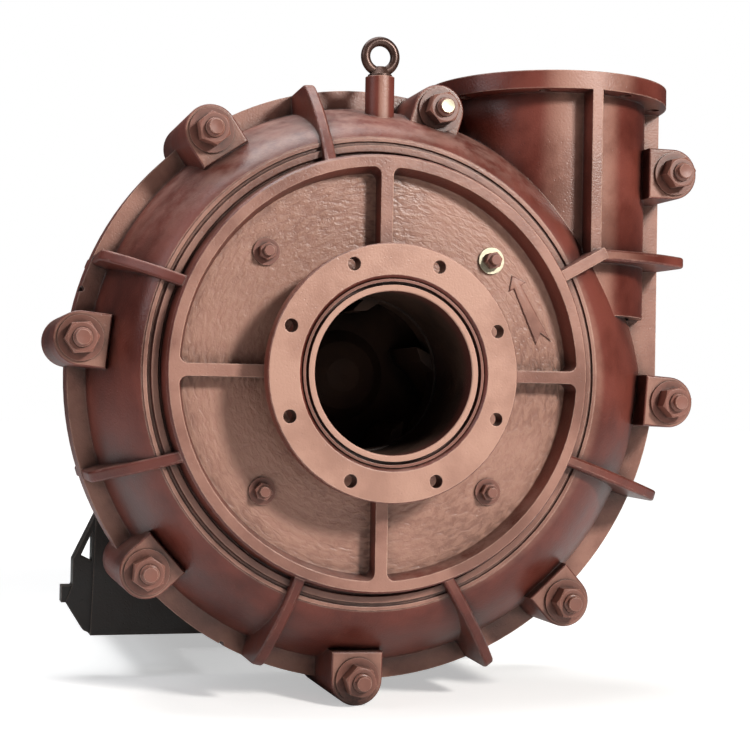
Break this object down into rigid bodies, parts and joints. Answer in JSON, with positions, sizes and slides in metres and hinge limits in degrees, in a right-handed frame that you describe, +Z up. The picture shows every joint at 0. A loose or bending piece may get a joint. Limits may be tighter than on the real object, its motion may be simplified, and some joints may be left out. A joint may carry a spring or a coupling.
{
  "type": "slurry pump",
  "caption": "Horizontal slurry pump: ribbed split volute casing with hard liners, closed impeller, packed gland and a sliding bearing cartridge on a cast base.",
  "frame": {"origin": "centre of the four foundation bolt holes, on the plane of the feet", "axes": "+Z up; the shaft runs along Y, with suction at -Y and the drive end at +Y; +X is on the side of the discharge"},
  "size_m": [1.325, 1.795, 1.326],
  "materials": {
    "casing_primer": "satin oxide-red primer over cast iron",
    "base_paint": "dull dark primer over cast iron",
    "white_iron": "as-cast high-chrome white iron",
    "machined_steel": "turned and ground",
    "zinc_fasteners": "zinc plated",
    "seal_rubber": "matt",
    "braided_packing": "greased square braid",
    "gland_iron": "machined grey iron",
    "brass_fittings": "turned brass"
  },
  "bodies": {
    "pump_body": {"cover_plate": "casing_primer", "frame_plate": "casing_primer", "casing_bolts": "casing_primer", "casing_washers": "casing_primer", "casing_nuts": "casing_primer", "front_liner_washers": "casing_primer", "front_liner_studs": "casing_primer", "front_liner_nuts": "casing_primer", "pump_base": "base_paint", "clamp_bridges": "base_paint", "volute_liner": "white_iron", "throatbush": "white_iron", "back_liner": "white_iron", "stuffing_box": "white_iron", "lantern_restrictor": "white_iron", "back_liner_studs": "zinc_fasteners", "back_liner_nuts": "zinc_fasteners", "lifting_eyebolt": "zinc_fasteners", "gland_studs": "zinc_fasteners", "frame_studs": "zinc_fasteners", "frame_nuts": "zinc_fasteners", "clamp_bolts": "zinc_fasteners", "adjusting_screw": "zinc_fasteners", "suction_joint_ring": "seal_rubber", "discharge_joint_ring": "seal_rubber", "packing_rings": "braided_packing", "sealing_water_fitting": "brass_fittings"},
    "bearing_cartridge": {"bearing_housing": "base_paint", "front_end_cover": "base_paint", "rear_end_cover": "base_paint", "front_cover_screws": "zinc_fasteners", "rear_cover_screws": "zinc_fasteners", "front_bearing_outer": "machined_steel", "rear_bearing_outer": "machined_steel", "grease_cups": "brass_fittings"},
    "rotor": {"impeller": "white_iron", "shaft": "machined_steel", "impeller_collar": "machined_steel", "shaft_sleeve": "machined_steel", "shaft_spacer": "machined_steel", "front_labyrinth": "machined_steel", "rear_labyrinth": "machined_steel", "front_bearing_inner": "machined_steel", "rear_bearing_inner": "machined_steel", "bearing_locknut": "machined_steel"},
    "front_roller_set": {"front_rollers": "machined_steel"},
    "rear_roller_set": {"rear_rollers": "machined_steel"},
    "clearance_nuts": {"adjusting_nuts": "zinc_fasteners"},
    "gland": {"gland_half_left": "gland_iron", "gland_half_right": "gland_iron", "gland_clamp_bolts": "zinc_fasteners"},
    "left_gland_nut": {"gland_nut_left": "zinc_fasteners"},
    "right_gland_nut": {"gland_nut_right": "zinc_fasteners"}
  },
  "joints": [
    {"name": "clearance_slide", "type": "slide", "parent": "pump_body", "child": "bearing_cartridge", "axis": [0, 1, 0], "range_m": [-0.0025, 0.006]},
    {"name": "shaft_spin", "type": "hinge", "parent": "bearing_cartridge", "child": "rotor", "pos_m": [0, 0.16, 0.56], "axis": [0, 1, 0], "continuous": true},
    {"name": "front_rollers_spin", "type": "hinge", "parent": "bearing_cartridge", "child": "front_roller_set", "pos_m": [0, -0.06, 0.56], "axis": [0, 1, 0], "continuous": true},
    {"name": "rear_rollers_spin", "type": "hinge", "parent": "bearing_cartridge", "child": "rear_roller_set", "pos_m": [0, 0.4, 0.56], "axis": [0, 1, 0], "continuous": true},
    {"name": "clearance_nuts_turn", "type": "hinge", "parent": "bearing_cartridge", "child": "clearance_nuts", "pos_m": [0, 0.413, 0.298], "axis": [0, 1, 0], "range_deg": [-300.5, 720.5]},
    {"name": "gland_slide", "type": "slide", "parent": "pump_body", "child": "gland", "axis": [0, 1, 0], "range_m": [-0.001, 0.018]},
    {"name": "left_gland_nut_turn", "type": "hinge", "parent": "gland", "child": "left_gland_nut", "pos_m": [-0.138, -0.268, 0.56], "axis": [0, 1, 0], "range_deg": [-145, 2593]},
    {"name": "right_gland_nut_turn", "type": "hinge", "parent": "gland", "child": "right_gland_nut", "pos_m": [0.138, -0.268, 0.56], "axis": [0, 1, 0], "range_deg": [-145, 2593]}
  ],
  "couplings": [
    {"joint": "front_rollers_spin", "follows": "shaft_spin", "ratio": 0.4419},
    {"joint": "rear_rollers_spin", "follows": "shaft_spin", "ratio": 0.4419},
    {"joint": "clearance_nuts_turn", "follows": "clearance_slide", "rad_per_m": 2094.4},
    {"joint": "left_gland_nut_turn", "follows": "gland_slide", "rad_per_m": 2513.3},
    {"joint": "right_gland_nut_turn", "follows": "gland_slide", "rad_per_m": 2513.3}
  ]
}
